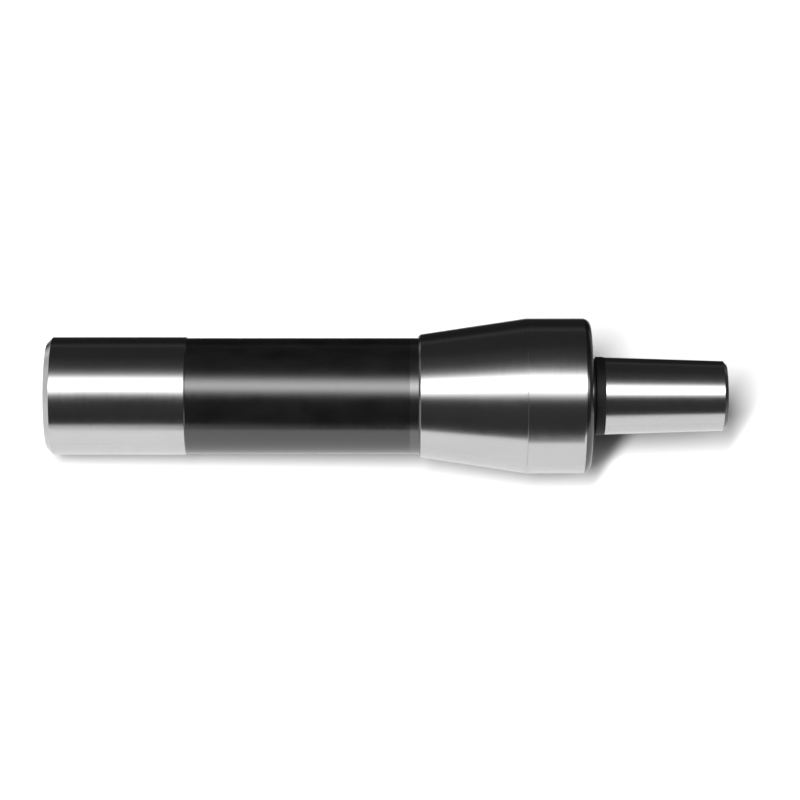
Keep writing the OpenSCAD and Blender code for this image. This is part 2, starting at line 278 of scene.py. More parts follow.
def blackOxide(name, look):
    # A thin black conversion coat: near-black, with a satin sheen that wanders a little, faint turning
    # rings beneath, and small worn specks where the coat is thinner.
    material, tree, shader = newMaterial(name)
    rings = ringNoise(tree, look["ringScale"], 60, shift=(4, 1, 2))
    cloud = objectNoise(tree, (150, 260, 260), shift=(2, 5, 1))
    specks = objectNoise(tree, (1500, 1500, 1500), detail=2.0, shift=(7, 3, 2))
    value = remap(tree, cloud, "Fac", 0.3, 0.7, look["darkest"], look["lightest"])
    worn = remap(tree, specks, "Fac", 0.68, 0.8, 0.0, look["specks"])
    tone = combine(tree, "ADD", value, "Result", worn, "Result")
    colour = tree.nodes.new("ShaderNodeVectorMath")
    colour.operation = "SCALE"
    colour.inputs[0].default_value = look["tint"]
    link(tree, tone, "Value", colour, "Scale")
    link(tree, colour, "Vector", shader, "Base Color")
    cloudRough = remap(tree, cloud, "Fac", 0.3, 0.7, look["roughness"] - look["wander"],
                       look["roughness"] + look["wander"])
    ringRough = remap(tree, rings, "Fac", 0.3, 0.7, -0.02, 0.02)
    rough = combine(tree, "ADD", cloudRough, "Result", ringRough, "Result")
    link(tree, rough, "Value", shader, "Roughness")
    bump = tree.nodes.new("ShaderNodeBump")
    bump.inputs["Strength"].default_value = look["bump"]
    bump.inputs["Distance"].default_value = 0.00001
    link(tree, rings, "Fac", bump, "Height")
    link(tree, bump, "Normal", shader, "Normal")
    shader.inputs["Metallic"].default_value = 0.0
    shader.inputs["IOR"].default_value = look["ior"]
    return material


steelLooks = {
    "groundSteel": {"colour": (0.56, 0.56, 0.565), "roughness": 0.17, "ringScale": 9000, "ringTone": 0.02,
                    "toneSpread": 0.025, "ringRough": 0.03, "markRough": 0.06, "bump": 0.25},
    "bearingSteel": {"colour": (0.62, 0.62, 0.63), "roughness": 0.12, "ringScale": 12000, "ringTone": 0.015,
                     "toneSpread": 0.02, "ringRough": 0.02, "markRough": 0.03, "bump": 0.15},
    "ballSteel": {"colour": (0.7, 0.7, 0.71), "roughness": 0.05, "ringScale": 900, "ringTone": 0.005,
                  "toneSpread": 0.01, "ringRough": 0.01, "markRough": 0.03, "bump": 0.0},
    "cageSteel": {"colour": (0.42, 0.41, 0.39), "roughness": 0.34, "ringScale": 700, "ringTone": 0.04,
                  "toneSpread": 0.06, "ringRough": 0.04, "markRough": 0.08, "bump": 0.3},
    "shieldSteel": {"colour": (0.5, 0.5, 0.51), "roughness": 0.28, "ringScale": 2500, "ringTone": 0.03,
                    "toneSpread": 0.03, "ringRough": 0.04, "markRough": 0.06, "bump": 0.3},
    "springSteel": {"colour": (0.2, 0.2, 0.23), "roughness": 0.36, "ringScale": 1500, "ringTone": 0.05,
                    "toneSpread": 0.12, "ringRough": 0.05, "markRough": 0.06, "bump": 0.3},
    "brass": {"colour": (0.66, 0.46, 0.19), "roughness": 0.24, "ringScale": 4000, "ringTone": 0.03,
              "toneSpread": 0.06, "ringRough": 0.04, "markRough": 0.06, "bump": 0.3},
}
finishes = {name: turnedSteel(name, look) for name, look in steelLooks.items()}

coatLooks = {
    "reliefOxide": {"tint": (1.0, 1.0, 1.04), "darkest": 0.0008, "lightest": 0.002, "specks": 0.002,
                    "roughness": 0.17, "wander": 0.02, "ior": 1.9, "ringScale": 5000, "bump": 0.25},
    "thinOxide": {"tint": (1.0, 1.0, 1.02), "darkest": 0.001, "lightest": 0.003, "specks": 0.003,
                  "roughness": 0.17, "wander": 0.02, "ior": 2.2, "ringScale": 7000, "bump": 0.25},
    "neckOxide": {"tint": (1.0, 1.0, 1.0), "darkest": 0.001, "lightest": 0.003, "specks": 0.001,
                  "roughness": 0.6, "wander": 0.04, "ior": 1.4, "ringScale": 4000, "bump": 0.3},
    "screwOxide": {"tint": (1.0, 1.0, 1.05), "darkest": 0.01, "lightest": 0.02, "specks": 0.01,
                   "roughness": 0.35, "wander": 0.05, "ior": 1.8, "ringScale": 3000, "bump": 0.3},
    "sealRubber": {"tint": (1.0, 1.0, 1.0), "darkest": 0.012, "lightest": 0.02, "specks": 0.004,
                   "roughness": 0.6, "wander": 0.06, "ior": 1.5, "ringScale": 900, "bump": 0.4},
}
finishes.update({name: blackOxide(name, look) for name, look in coatLooks.items()})
print("materials made:", len(finishes))


shank = {
    "rearX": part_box("shank_body")[0].x / mm,
    "rearChamfer": 1.2, "pilotR": 12.05, "reliefR": 11.85, "stepLength": 0.2,
    "reliefBackX": -69.5, "thinBackX": -23.8, "seatBackX": -22.0, "seatBackR": 12.617, "seatEdge": 0.4,
    "seatR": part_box("shank_body")[1].y / mm,
    "spigotR": 13.55, "spigotEndX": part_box("shank_body")[1].x / mm,
    "cavityR": 12.0, "cavityBackX": -7.2, "boreR": 7.0, "boreBackX": -44.0, "ventR": 1.8,
    "plugR": 3.0, "plugSeatX": -55.667, "drawbarR": 5.555, "drawbarLength": 32.0,
    "mouthLength": 1.0, "mouthR": 6.755, "drillPoint": 0.6,
    "pitch": 1.27, "threadDepth": 0.62, "threadLead": 1.2, "runOut": 2.5, "spigotEdge": 0.3,
    "keyHalf": 2.0, "keyDepth": 2.4, "keyLength": 60.0, "keyCutterR": 18.0, "keyBreak": 0.14,
    "keyRunOut": 8.9, "faceRowR": 9.4,
}


keyColumns = 6        # columns from the keyway's middle to the top of its wall


def shankAngles():
    # Fine columns over the keyway at fixed heights z on the relief's radius, then even ones.
    half, lip = shank["keyHalf"], shank["keyBreak"]
    z = np.array([0, 0.5, 1.0, 1.5, 1.85, half, half + 0.02, half + 0.02 + lip])
    near = np.arcsin(z / shank["reliefR"])
    even = np.linspace(math.radians(14), 2 * math.pi - math.radians(14), columns - 11)
    return np.concatenate([near, even, 2 * math.pi - near[::-1]]), z


def keyed(grid, angles, z):
    # Inside the keyway a point's y is the lower of the round surface and the keyway's floor. The floor
    # is flat, then rises along the slotting cutter's circle: y = floor + R - sqrt(R^2 - run^2). Rows
    # that lie wholly inside the floor's height stay as they are.
    out = grid.copy()
    x = grid[:, 0, 0]
    radius = np.hypot(grid[:, 0, 1], grid[:, 0, 2])
    run = np.clip(x - (shank["rearX"] + shank["keyLength"]), 0, shank["keyCutterR"] * 0.999)
    floor = shank["pilotR"] - shank["keyDepth"] + shank["keyCutterR"]
    floor = floor - np.sqrt(shank["keyCutterR"] ** 2 - run ** 2)
    cut = radius > shank["pilotR"] - shank["keyDepth"]
    for side in (1, -1):
        for k, height in enumerate(z):
            column = k if side > 0 else len(angles) - 1 - k
            top = np.sqrt(radius ** 2 - height ** 2)
            if k < keyColumns:
                y = np.minimum(floor, top)
            elif k == keyColumns:
                y = np.minimum(top, np.maximum(floor, top - shank["keyBreak"]))
            else:
                y = top
            out[cut, column, 1] = y[cut]
            out[cut, column, 2] = side * height
    return out


def threadGrid(angles, backX, frontX):
    # The drawbar thread's wall. Rows follow the helix: x = start + pitch * (row + turn), and the radius
    # is the major radius less the depth times a flat-topped 60 degree wave of the same phase. Where a
    # row would pass an end it stops there, and the wave dies out towards the blind end.
    turn = angles / (2 * math.pi)
    count = int((frontX - backX) / shank["pitch"]) + 3
    wave = np.array([0.0, 0.0625, 0.25, 0.45, 0.5625, 0.6875, 0.8, 1.0])
    rows = (np.arange(count)[:, None] + wave[None, :-1]).ravel() - 1.5
    x = np.clip(backX + shank["pitch"] * (rows[:, None] + turn[None, :]), backX, frontX)
    phase = ((x - backX) / shank["pitch"] - turn[None, :] + 1.5) % 1.0
    bump = np.interp(phase, [0, 0.0625, 0.45, 0.5625, 0.9375, 1.0], [0, 0, 1, 1, 0, 0])
    runOut = np.clip((frontX - x) / (shank["runOut"] * shank["pitch"]), 0, 1)
    runOut = runOut * runOut * (3 - 2 * runOut)
    radius = shank["drawbarR"] - shank["threadDepth"] * bump * runOut
    leadIn = shank["drawbarR"] - shank["threadLead"] * (x - backX)
    radius = np.minimum(np.maximum(radius, leadIn), shank["drawbarR"])
    return np.stack([x, radius * np.cos(angles), radius * np.sin(angles)], -1)


def makeShank():
    s = shank
    angles, z = shankAngles()
    coneStart = s["seatBackX"] + s["seatEdge"]
    outside = [
        (s["rearX"], s["mouthR"], 0.0, "groundSteel"),
        (s["rearX"], s["faceRowR"], 0.0, "groundSteel"),
        (s["rearX"], s["pilotR"] - s["rearChamfer"], 0.1, "groundSteel"),
        (s["rearX"] + s["rearChamfer"], s["pilotR"], 0.12, "groundSteel"),
        (s["reliefBackX"], s["pilotR"], 0.04, "reliefOxide"),
        (s["reliefBackX"] + s["stepLength"], s["reliefR"], 0.0, "reliefOxide"),
        (s["rearX"] + s["keyLength"], s["reliefR"], 0.0, "reliefOxide"),
    ]
    points, names = roundedProfile(outside)
    runAngles = np.linspace(0, math.asin(s["keyRunOut"] / s["keyCutterR"]), 22)[1:]
    runX = s["rearX"] + s["keyLength"] + s["keyCutterR"] * np.sin(runAngles)
    points = np.concatenate([points, np.stack([runX, 0 * runX + s["reliefR"]], 1)])
    names = np.array(names + ["reliefOxide"] * len(runX))
    cells = np.repeat(names[:, None], len(angles) - 1, axis=1)
    milled = points[:, 1] > s["pilotR"] - s["keyDepth"]
    cells[milled, :keyColumns] = "reliefOxide"   # the keyway stays black where the pilot is ground
    cells[milled, -keyColumns:] = "reliefOxide"
    shell = Shell()
    shell.add(keyed(turned(points, angles), angles, z), cells)
    front = [
        (runX[-1], s["reliefR"], 0.0, "reliefOxide"),
        (s["thinBackX"], s["reliefR"], 0.0, "thinOxide"),
        (s["seatBackX"], s["reliefR"], 0.0, "reliefOxide"),
        (s["seatBackX"], s["seatBackR"] - s["seatEdge"], 0.06, "reliefOxide"),
        (coneStart, s["seatBackR"], 0.15, "groundSteel"),
        (0.0, s["seatR"], 0.04, "groundSteel"),
        (0.0, s["spigotR"], 0.0, "bearingSteel"),
        (s["spigotEndX"] - s["spigotEdge"], s["spigotR"], 0.05, "bearingSteel"),
        (s["spigotEndX"], s["spigotR"] - s["spigotEdge"], 0.05, "bearingSteel"),
        (s["spigotEndX"], s["cavityR"], 0.05, "bearingSteel"),
        (s["cavityBackX"], s["cavityR"], 0.1, "bearingSteel"),
        (s["cavityBackX"], s["boreR"], 0.1, "bearingSteel"),
        (s["boreBackX"], s["boreR"], 0.1, "bearingSteel"),
        (s["boreBackX"], s["ventR"], 0.05, "bearingSteel"),
        (s["plugSeatX"], s["ventR"], 0.05, "bearingSteel"),
        (s["plugSeatX"], s["plugR"], 0.0, "bearingSteel"),
        (s["rearX"] + s["drawbarLength"] + (s["drawbarR"] - s["plugR"]) * s["drillPoint"], s["plugR"],
         0.03, "bearingSteel"),
        (s["rearX"] + s["drawbarLength"], s["drawbarR"], 0.0, "bearingSteel"),
    ]
    points, names = roundedProfile(front)
    shell.add(turned(points, angles), names)
    threadEnd = s["rearX"] + s["drawbarLength"]
    thread = threadGrid(angles, s["rearX"] + s["mouthLength"], threadEnd)
    shell.add(thread, "bearingSteel", flip=True)
    mouth = np.array([[s["rearX"] + s["mouthLength"], s["drawbarR"]], [s["rearX"], s["mouthR"]]])
    shell.add(turned(mouth, angles), "bearingSteel")
    shell.build("shankBody", "housing", "shank_body", "ground_steel", finishes)


makeShank()


cap = {
    "backX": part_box("bearing_cap")[0].x / mm, "frontX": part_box("bearing_cap")[1].x / mm,
    "r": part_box("bearing_cap")[1].y / mm, "edgeR": 1.8,
    "lipR": 8.75, "lipFlare": 0.39, "flareLength": 0.3,
    "grooveR": 10.0, "grooveBackX": 11.1, "grooveFrontX": 12.7,
    "innerX": 10.6, "raceR": 13.02, "threadEndX": 5.4, "threadR": 13.6,
    "spannerCount": 4, "spannerR": 12.5, "spannerHoleR": 1.25, "spannerDepth": 1.6,
    "screwX": 2.7, "screwHoleR": 1.25, "screwRows": (-1.9, -1.2, -0.4, 0.4, 1.2, 1.9), "screwColumns": 8,
    "faceRows": (14.0, 13.4, 12.8, 12.2, 11.6, 11.0), "holeColumns": 5, "holeBreak": 0.08,
    "threadBreak": 0.3, "backGap": 0.08, "edgeGap": 0.05,
}


def windowEdge(grid, rows, cols):
    # The points round a window of a grid, in order, first point repeated at the end.
    r0, r1 = rows
    c0, c1 = cols
    return np.concatenate([grid[r0, c0:c1], grid[r0:r1, c1], grid[r1, c1:c0:-1], grid[r1:r0:-1, c0],
                           grid[r0:r0 + 1, c0]])


def holeRings(edge, centre, radius, steps=6):
    # Rings from a window's edge to a round hole, in the surface's own two coordinates: each ring is the
    # edge moved a share of the way to the circle point that lies in the same direction.
    away = edge - centre
    circle = centre + radius * away / np.linalg.norm(away, axis=1, keepdims=True)
    share = np.linspace(0, 1, steps + 1)[:, None, None]
    return edge + (circle - edge) * share


def makeCap():
    c = cap
    angles = np.linspace(0, 2 * math.pi, columns + 1)
    shell = Shell()
    faceInner = c["lipR"] + c["lipFlare"]
    # outside: back face, skirt, rounded front edge
    screwRows = c["screwX"] + np.array(c["screwRows"])
    skirtX = np.concatenate([[c["backX"] + c["backGap"]], screwRows,
                             [c["frontX"] - c["edgeR"] - c["edgeGap"]]])
    skirt = turned(np.stack([skirtX, 0 * skirtX + c["r"]], 1), angles)
    half = c["screwColumns"]
    skip = np.zeros((len(skirtX) - 1, columns), bool)
    skip[1:6, :half] = True
    skip[1:6, -half:] = True
    shell.add(skirt, "groundSteel", skip=skip)
    rim = [(c["backX"], c["threadR"] + c["threadBreak"], 0.0, "bearingSteel"),
           (c["backX"], c["r"], 0.04, "groundSteel"),
           (skirtX[0], c["r"], 0.0, "groundSteel")]
    points, names = roundedProfile(rim)
    shell.add(turned(points, angles), names)
    bend = np.linspace(0, math.pi / 2, 15)
    edgeX = c["frontX"] - c["edgeR"] + c["edgeR"] * np.sin(bend)
    edgeR = c["r"] - c["edgeR"] + c["edgeR"] * np.cos(bend)
    faceR = np.array(c["faceRows"])
    edgeProfile = np.concatenate([[[skirtX[-1], c["r"]]], np.stack([edgeX, edgeR], 1)[:-1],
                                  [[c["frontX"], c["r"] - c["edgeR"]]],
                                  [[c["frontX"], faceR[0]]]])
    names = ["groundSteel"] * 3 + ["reliefOxide"] * (len(edgeProfile) - 3)
    shell.add(turned(edgeProfile, angles), names)
    # face with its spanner holes, as windows of whole columns
    face = turned(np.stack([0 * faceR + c["frontX"], faceR], 1), angles)
    step = columns // c["spannerCount"]
    reach = c["holeColumns"]
    skip = np.zeros((len(faceR) - 1, columns), bool)
    starts = [step // 2 + k * step - reach for k in range(c["spannerCount"])]
    for start in starts:
        skip[:, start:start + 2 * reach] = True
    shell.add(face, "reliefOxide", skip=skip)
    for start in starts:
        addSpannerHole(shell, windowEdge(face, (0, len(faceR) - 1), (start, start + 2 * reach)),
                       angles[start + reach])
    inner = [
        (c["frontX"], faceR[-1], 0.0, "reliefOxide"),
        (c["frontX"], faceInner, 0.05, "bearingSteel"),
        (c["frontX"] - c["flareLength"], c["lipR"], 0.03, "bearingSteel"),
        (c["grooveFrontX"], c["lipR"], 0.0, "bearingSteel"),
        (c["grooveFrontX"], c["grooveR"], 0.08, "bearingSteel"),
        (c["grooveBackX"], c["grooveR"], 0.08, "bearingSteel"),
        (c["grooveBackX"], c["lipR"], 0.0, "bearingSteel"),
        (c["innerX"], c["lipR"], 0.03, "bearingSteel"),
        (c["innerX"], c["raceR"], 0.1, "bearingSteel"),
        (c["threadEndX"], c["raceR"], 0.05, "bearingSteel"),
        (c["threadEndX"], c["threadR"], 0.0, "bearingSteel"),
        (screwRows[-1], c["threadR"], 0.0, "bearingSteel"),
    ]
    points, names = roundedProfile(inner)
    shell.add(turned(points, angles), names)
    boreX = screwRows[::-1]
    bore = turned(np.stack([boreX, 0 * boreX + c["threadR"]], 1), angles)
    skip = np.zeros((len(boreX) - 1, columns), bool)
    skip[:, :half] = True
    skip[:, -half:] = True
    shell.add(bore, "bearingSteel", skip=skip)
    back = [(screwRows[0], c["threadR"], 0.0, "bearingSteel"),
            (c["backX"] + c["threadBreak"], c["threadR"], 0.0, "bearingSteel"),
            (c["backX"], c["threadR"] + c["threadBreak"], 0.0, "bearingSteel")]
    points, names = roundedProfile(back)
    shell.add(turned(points, angles), names)
    addScrewHole(shell)
    shell.build("bearingCap", "housing", "bearing_cap", "cap_steel", finishes)


def addSpannerHole(shell, edge, angle):
    # A blind hole square to the face: rings on the face, a small broken edge, the wall and a flat floor.
    c = cap
    centre = c["spannerR"] * np.array([math.cos(angle), math.sin(angle)])
    rimR = c["spannerHoleR"] + c["holeBreak"]
    flat = holeRings(edge[:, 1:], centre, rimR)
    shell.add(np.concatenate([np.full(flat.shape[:2] + (1,), c["frontX"]), flat], -1), "reliefOxide")
    unit = (flat[-1] - centre) / np.linalg.norm(flat[-1] - centre, axis=1, keepdims=True)
    depth = np.array([0, c["holeBreak"], 1.5 * c["holeBreak"], c["spannerDepth"] - 0.1, c["spannerDepth"],
                      c["spannerDepth"]])
    radius = np.array([rimR, c["spannerHoleR"], c["spannerHoleR"], c["spannerHoleR"],
                       c["spannerHoleR"] - 0.1, 0.0])
    wall = np.stack([np.broadcast_to(c["frontX"] - depth[:, None], (len(depth), len(unit))),
                     centre[0] + radius[:, None] * unit[None, :, 0],
                     centre[1] + radius[:, None] * unit[None, :, 1]], -1)
    shell.add(wall, "reliefOxide")


def onCylinder(flat, r):
    # (x, z) on the +Y side of a cylinder of radius r: y = sqrt(r^2 - z^2).
    return np.stack([flat[..., 0], np.sqrt(r * r - flat[..., 1] ** 2), flat[..., 1]], -1)


def addScrewHole(shell):
    # The lock screw's hole, through the skirt on +Y: rings on both walls, joined by the hole's own wall.
    c = cap
    half = c["screwColumns"]
    centre = np.array([c["screwX"], 0.0])
    angle = 2 * math.pi * np.arange(-half, half + 1) / columns
    rings = {}
    for r in (c["r"], c["threadR"]):
        z = r * np.sin(angle)
        x = c["screwX"] + np.array(c["screwRows"])
        window = np.stack(np.meshgrid(x, z, indexing="ij"), -1)
        edge = windowEdge(window, (0, len(x) - 1), (0, 2 * half))
        rings[r] = holeRings(edge, centre, c["screwHoleR"])
    shell.add(onCylinder(rings[c["r"]], c["r"]), "groundSteel")
    shell.add(onCylinder(rings[c["threadR"]], c["threadR"]), "bearingSteel", flip=True)
    top = onCylinder(rings[c["r"]][-1], c["r"])
    foot = onCylinder(rings[c["threadR"]][-1], c["threadR"])
    share = np.linspace(0, 1, 4)[:, None, None]
    shell.add(top + (foot - top) * share, "bearingSteel")


makeCap()


nose = {
    "tailX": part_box("spindle")[0].x / mm, "endX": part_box("spindle")[1].x / mm,
    "journalR": 5.0, "tailEdge": 0.5, "undercutX": 1.6, "undercut": 0.2, "flangeBackX": 2.8,
    "flangeR": 9.9, "flangeFrontX": 5.4, "edge": 0.3, "landR": 8.5, "landEndX": 12.9,
    "grooveR": 7.6, "grooveBackX": 13.2, "grooveFrontX": 14.0, "neckR": 8.0, "neckRise": 0.2, "noseX": 15.6,
    "bigR": 7.925, "smallR": 7.12, "chamfer": 0.7, "groundStart": 0.45,
    "centreR": 3.2, "centrePilotR": 1.0,
    "centreLength": 3.8105, "centrePilotLength": 2.7, "drillPoint": 0.6, "tailCentreR": 1.8,
}


def makeSpindle():
    n = nose
    length = n["endX"] - n["noseX"]
    chamferR = n["bigR"] + (n["smallR"] - n["bigR"]) * (1 - n["chamfer"] / length)
    groundR = n["bigR"] + (n["smallR"] - n["bigR"]) * n["groundStart"] / length
    pilotX = n["endX"] - n["centreLength"]
    pilotEndX = pilotX - n["centrePilotLength"]
    corners = [
        (n["tailX"] + n["tailCentreR"] / math.tan(math.radians(30)), 0.0, 0.0, "bearingSteel"),
        (n["tailX"], n["tailCentreR"], 0.04, "bearingSteel"),
        (n["tailX"], n["journalR"] - n["tailEdge"], 0.05, "bearingSteel"),
        (n["tailX"] + n["tailEdge"], n["journalR"], 0.05, "bearingSteel"),
        (n["undercutX"], n["journalR"], 0.04, "bearingSteel"),
        (n["undercutX"] + n["undercut"], n["journalR"] - n["undercut"], 0.04, "bearingSteel"),
        (n["flangeBackX"], n["journalR"] - n["undercut"], 0.15, "bearingSteel"),
        (n["flangeBackX"], n["flangeR"] - n["edge"], 0.05, "bearingSteel"),
        (n["flangeBackX"] + n["edge"], n["flangeR"], 0.05, "bearingSteel"),
        (n["flangeFrontX"] - n["edge"], n["flangeR"], 0.05, "bearingSteel"),
        (n["flangeFrontX"], n["flangeR"] - n["edge"], 0.05, "bearingSteel"),
        (n["flangeFrontX"], n["landR"], 0.1, "bearingSteel"),
        (n["landEndX"], n["landR"], 0.05, "neckOxide"),
        (n["grooveBackX"], n["grooveR"], 0.1, "neckOxide"),
        (n["grooveFrontX"], n["grooveR"], 0.1, "neckOxide"),
        (n["grooveFrontX"] + n["neckRise"], n["neckR"], 0.05, "neckOxide"),
        (n["noseX"], n["neckR"], 0.04, "neckOxide"),
        (n["noseX"], n["bigR"], 0.06, "neckOxide"),
        (n["noseX"] + n["groundStart"], groundR, 0.0, "groundSteel"),
        (n["endX"] - n["chamfer"], chamferR, 0.1, "reliefOxide"),
        (n["endX"], n["smallR"] - n["chamfer"], 0.08, "reliefOxide"),
        (n["endX"], n["centreR"], 0.06, "bearingSteel"),
        (pilotX, n["centrePilotR"], 0.02, "bearingSteel"),
        (pilotEndX, n["centrePilotR"], 0.0, "bearingSteel"),
        (pilotEndX - n["centrePilotR"] * n["drillPoint"], 0.0, 0.0, "bearingSteel"),
    ]
    points, names = roundedProfile(corners)
    shell = Shell()
    shell.add(turned(points), names)
    shell.build("spindleNose", "spindle", "spindle", "spindle_steel", finishes)


makeSpindle()


def spinAngles(count):
    return np.linspace(0, 2 * math.pi, count + 1)


def arcCorners(x, r, radius, start, end, finish, count=13):
    # Points of a circle round (x, r), from one angle to the other in degrees: cosine along X.
    angle = np.radians(np.linspace(start, end, count))
    return [(x + radius * c, r + radius * k, 0.0, finish) for c, k in zip(np.cos(angle), np.sin(angle))]


def makeRing(name, body, node, slotName, corners, count=144):
    # One closed outline turned once round the axis.
    points, names = roundedProfile(corners, closed=True)
    shell = Shell()
    shell.add(turned(points, spinAngles(count)), names)
    return shell.build(name, body, node, slotName, finishes)


def hexRows(across, depth, faceX, angles, rounds=0.12):
    # A hexagon socket that opens towards -X: the floor's middle, its rim, the wall and a small flare.
    # The rim's radius at an angle is half the width across flats over the cosine of what is left of
    # the angle in its sixth of a turn.
    sixth = math.pi / 3
    wide = across / 2 / np.cos((angles + sixth / 2) % sixth - sixth / 2)
    rows = []
    floorX = faceX + depth
    for x, share, flat in ((floorX, 0.0, 0.0), (floorX, 0.5, 0.0), (floorX, 1.0, 0.0),
                           (faceX + rounds, 1.0, 0.0), (faceX, 1.0, rounds * 0.6)):
        radius = wide * share + flat
        rows.append(np.stack([x + 0 * angles, radius * np.cos(angles), radius * np.sin(angles)], -1))
    return np.stack(rows)


def outerThread(angles, startX, endX, pitch, crestR, depth, chamfer):
    # Rows follow the helix, x = start + pitch * (row + turn), cut off at both ends. The radius is the
    # crest less a flat-topped 60 degree wave, and 45 degree chamfers take the ends down to the root.
    turn = angles / (2 * math.pi)
    wave = np.array([0.0, 0.0625, 0.4375, 0.5625, 0.8])
    rows = (np.arange(int((endX - startX) / pitch) + 3)[:, None] + wave[None, :]).ravel() - 1.5
    x = np.clip(startX + pitch * (rows[:, None] + turn[None, :]), startX, endX)
    phase = ((x - startX) / pitch - turn[None, :] + 1.5) % 1.0
    notch = np.interp(phase, [0, 0.0625, 0.4375, 0.5625, 0.9375, 1.0], [0, 0, 1, 1, 0, 0])
    radius = crestR - depth * notch
    inner = crestR - chamfer
    limit = inner + np.minimum(x - startX, endX - x)
    radius = np.minimum(radius, limit)
    edge = (x <= startX + 1e-9) | (x >= endX - 1e-9)
    radius = np.where(edge, inner, radius)
    return np.stack([x, radius * np.cos(angles), radius * np.sin(angles)], -1)


def grubScrew(look, angles):
    # A headless screw from its socket end at startX to its flat tip at endX, along +X.
    shell = Shell()
    socket = hexRows(look["hex"], look["hexDepth"], look["startX"], angles)
    shell.add(socket, "screwOxide")
    thread = outerThread(angles, look["startX"], look["endX"], look["pitch"], look["r"], look["depth"],
                         look["chamfer"])
    shell.add(np.stack([socket[-1], thread[0]]), "screwOxide")
    shell.add(thread, "screwOxide")
    middle = thread[-1] * np.array([1.0, 0.0, 0.0])
    shell.add(np.stack([thread[-1], (thread[-1] + middle) / 2, middle]), "screwOxide")
    return shell


plug = {"startX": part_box("knockout_plug")[0].x / mm, "endX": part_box("knockout_plug")[1].x / mm, "r": 2.98,
        "pitch": 1.0, "depth": 0.55, "chamfer": 0.6, "hex": 3.0, "hexDepth": 3.0}
lockScrew = {"startX": -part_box("cap_lock_screw")[1].y / mm, "endX": -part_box("cap_lock_screw")[0].y / mm,
             "r": 1.23, "pitch": 0.45, "depth": 0.24, "chamfer": 0.26, "hex": 1.3, "hexDepth": 1.0}


def makeScrews():
    angles = spinAngles(96)
    grubScrew(plug, angles).build("knockoutPlug", "housing", "knockout_plug", "screw_black", finishes)
    shell = grubScrew(lockScrew, angles)
    quarter = np.array([[0.0, 1.0, 0.0], [-1.0, 0.0, 0.0], [0.0, 0.0, 1.0]])  # turns +X into -Y
    place = np.array([cap["screwX"], 0.0, 0.0])
    shell.points = [grid @ quarter.T + place for grid in shell.points]
    shell.build("capLockScrew", "housing", "cap_lock_screw", "screw_black", finishes)


makeScrews()


front = {
    "lowX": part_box("front_outer_race")[0].x / mm, "highX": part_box("front_outer_race")[1].x / mm,
    "r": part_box("front_outer_race")[1].y / mm, "boreR": 8.52, "pitchR": 10.75, "land": 0.9, "grooveR": 1.39,
    "midX": 7.9, "edge": 0.3, "fineEdge": 0.1, "stepR": 11.95, "shieldInset": 0.2, "shieldT": 0.3,
    "shieldBackX": 5.6, "shieldIn": 10.0, "ballR": 1.35, "ballCount": 15, "shimIn": 11.6,
}
thrust = {
    "backX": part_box("thrust_housing_washer")[0].x / mm, "faceX": -3.4, "r": 11.98, "boreR": 5.5,
    "shaftBackX": 0.0, "shaftFaceX": 2.78, "shaftR": 11.7, "shaftBoreR": 5.02, "edge": 0.3,
    "midX": -1.7, "pitchR": 8.5, "grooveR": 2.42, "ballR": 2.38, "ballCount": 8,
    "springT": 0.6, "springIn": 6.2, "springOut": 11.6, "springFrontX": -6.22, "springBackX": -7.18,
}
needle = {
    "cupX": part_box("needle_cup")[0].x / mm, "cupEndX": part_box("needle_cup")[1].x / mm, "cupR": 6.98,
    "wall": 0.44, "lip": 0.8, "lipR": 5.5, "bend": 0.35, "midX": -37.5, "pitchR": 5.76, "rollerR": 0.74,
    "rollerLength": 8.2, "rollerCount": 14,
}
seal = {"x": 11.9, "pitchR": 9.25, "r": 0.7}


def edged(points, rounding, finish):
    # Gives plain (x, radius) corners the same rounding and finish.
    return [(x, r, rounding, finish) for x, r in points]


